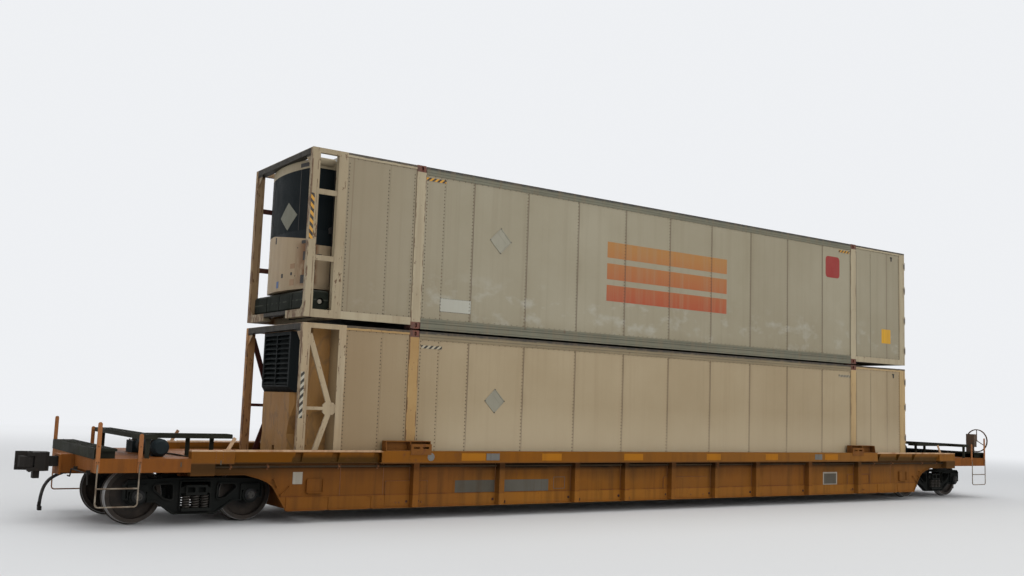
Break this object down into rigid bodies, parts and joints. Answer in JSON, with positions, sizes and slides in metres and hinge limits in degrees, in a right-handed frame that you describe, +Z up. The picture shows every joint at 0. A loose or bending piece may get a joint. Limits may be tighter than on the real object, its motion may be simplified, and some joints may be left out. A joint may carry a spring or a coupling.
{
  "type": "container well car",
  "caption": "Single-unit rail well car carrying two stacked insulated containers, with swivelling trucks, swinging couplers and opening rear doors.",
  "frame": {"origin": "centre of the car on the plane of the wheel flanges' lowest points, 25 mm below the top of the rail", "axes": "+X along the car towards the container doors and the hand brake, +Y to the left of +X, +Z up"},
  "size_m": [23.9, 3.062, 6.147],
  "materials": {
    "car_paint": "satin",
    "galvanised": "matte",
    "truck_iron": "matte",
    "wheel_steel": "satin",
    "spring_steel": "satin",
    "coupler_iron": "matte",
    "hose_rubber": "matte",
    "brake_black": "satin",
    "upper_cream": "satin",
    "lower_cream": "satin",
    "upper_frame_paint": "satin",
    "lower_frame_paint": "satin",
    "roof_sheet": "satin",
    "unit_tan": "satin",
    "grille_black": "satin",
    "tank_steel": "satin",
    "connector_steel": "matte"
  },
  "bodies": {
    "car": {"air_hose_a": "hose_rubber", "air_hose_b": "hose_rubber", "side_sills": "car_paint", "top_chords": "car_paint", "container_guides": "car_paint", "well_floor": "car_paint", "end_bulkheads": "car_paint", "stub_sills": "car_paint", "end_decks": "car_paint", "ladders": "car_paint", "brake_pipe": "brake_black", "end_platforms": "galvanised", "uncoupling_levers": "coupler_iron", "angle_cocks": "coupler_iron", "glad_hands": "coupler_iron", "air_brake_gear": "brake_black", "hand_brake": "brake_black", "lower_side_walls": "lower_cream", "lower_roof": "roof_sheet", "lower_floor": "brake_black", "lower_front_wall": "lower_cream", "lower_rails": "lower_frame_paint", "lower_posts": "lower_frame_paint", "lower_nose_frame": "lower_frame_paint", "lower_door_frame": "lower_frame_paint", "lower_unit_housing": "unit_tan", "lower_unit_grille": "grille_black", "upper_side_walls": "upper_cream", "upper_roof": "roof_sheet", "upper_floor": "brake_black", "upper_front_wall": "upper_cream", "upper_rails": "upper_frame_paint", "upper_posts": "upper_frame_paint", "upper_nose_frame": "upper_frame_paint", "upper_door_frame": "upper_frame_paint", "upper_unit_housing": "unit_tan", "upper_unit_grille": "grille_black", "lower_doors": "lower_cream", "upper_fuel_tank": "tank_steel", "box_connectors": "connector_steel"},
    "truck_a": {"side_frames_a": "truck_iron", "truck_bolster_a": "truck_iron", "springs_a": "spring_steel", "brake_beams_a": "truck_iron"},
    "wheelset_a1_body": {"wheelset_a1": "wheel_steel"},
    "wheelset_a2_body": {"wheelset_a2": "wheel_steel"},
    "coupler_a_body": {"coupler_a": "coupler_iron"},
    "knuckle_a_body": {"knuckle_a": "coupler_iron"},
    "truck_b": {"side_frames_b": "truck_iron", "truck_bolster_b": "truck_iron", "springs_b": "spring_steel", "brake_beams_b": "truck_iron"},
    "wheelset_b1_body": {"wheelset_b1": "wheel_steel"},
    "wheelset_b2_body": {"wheelset_b2": "wheel_steel"},
    "coupler_b_body": {"coupler_b": "coupler_iron"},
    "knuckle_b_body": {"knuckle_b": "coupler_iron"},
    "left_door": {"upper_door_left": "upper_cream"},
    "right_door": {"upper_door_right": "upper_cream"}
  },
  "joints": [
    {"name": "truck_a_swivel", "type": "hinge", "parent": "car", "child": "truck_a", "pos_m": [-9.575, 0, 0.673], "axis": [0, 0, 1], "range_deg": [-10, 10]},
    {"name": "wheelset_a1_spin", "type": "hinge", "parent": "truck_a", "child": "wheelset_a1_body", "pos_m": [-10.4385, 0, 0.444], "axis": [0, 1, 0], "continuous": true},
    {"name": "wheelset_a2_spin", "type": "hinge", "parent": "truck_a", "child": "wheelset_a2_body", "pos_m": [-8.7115, 0, 0.444], "axis": [0, 1, 0], "continuous": true},
    {"name": "coupler_a_swing", "type": "hinge", "parent": "car", "child": "coupler_a_body", "pos_m": [-10.94, 0, 0.901], "axis": [0, 0, 1], "range_deg": [-7, 7]},
    {"name": "knuckle_a_turn", "type": "hinge", "parent": "coupler_a_body", "child": "knuckle_a_body", "pos_m": [-11.788, -0.128, 0.901], "axis": [0, 0, 1], "range_deg": [0, 45]},
    {"name": "truck_b_swivel", "type": "hinge", "parent": "car", "child": "truck_b", "pos_m": [9.575, 0, 0.673], "axis": [0, 0, 1], "range_deg": [-10, 10]},
    {"name": "wheelset_b1_spin", "type": "hinge", "parent": "truck_b", "child": "wheelset_b1_body", "pos_m": [8.7115, 0, 0.444], "axis": [0, 1, 0], "continuous": true},
    {"name": "wheelset_b2_spin", "type": "hinge", "parent": "truck_b", "child": "wheelset_b2_body", "pos_m": [10.4385, 0, 0.444], "axis": [0, 1, 0], "continuous": true},
    {"name": "coupler_b_swing", "type": "hinge", "parent": "car", "child": "coupler_b_body", "pos_m": [10.94, 0, 0.901], "axis": [0, 0, 1], "range_deg": [-7, 7]},
    {"name": "knuckle_b_turn", "type": "hinge", "parent": "coupler_b_body", "child": "knuckle_b_body", "pos_m": [11.788, 0.128, 0.901], "axis": [0, 0, 1], "range_deg": [0, 45]},
    {"name": "left_door_swing", "type": "hinge", "parent": "car", "child": "left_door", "pos_m": [8.058, 1.273, 4.6], "axis": [0, 0, 1], "range_deg": [0, 270]},
    {"name": "right_door_swing", "type": "hinge", "parent": "car", "child": "right_door", "pos_m": [8.058, -1.273, 4.6], "axis": [0, 0, -1], "range_deg": [0, 270]}
  ]
}
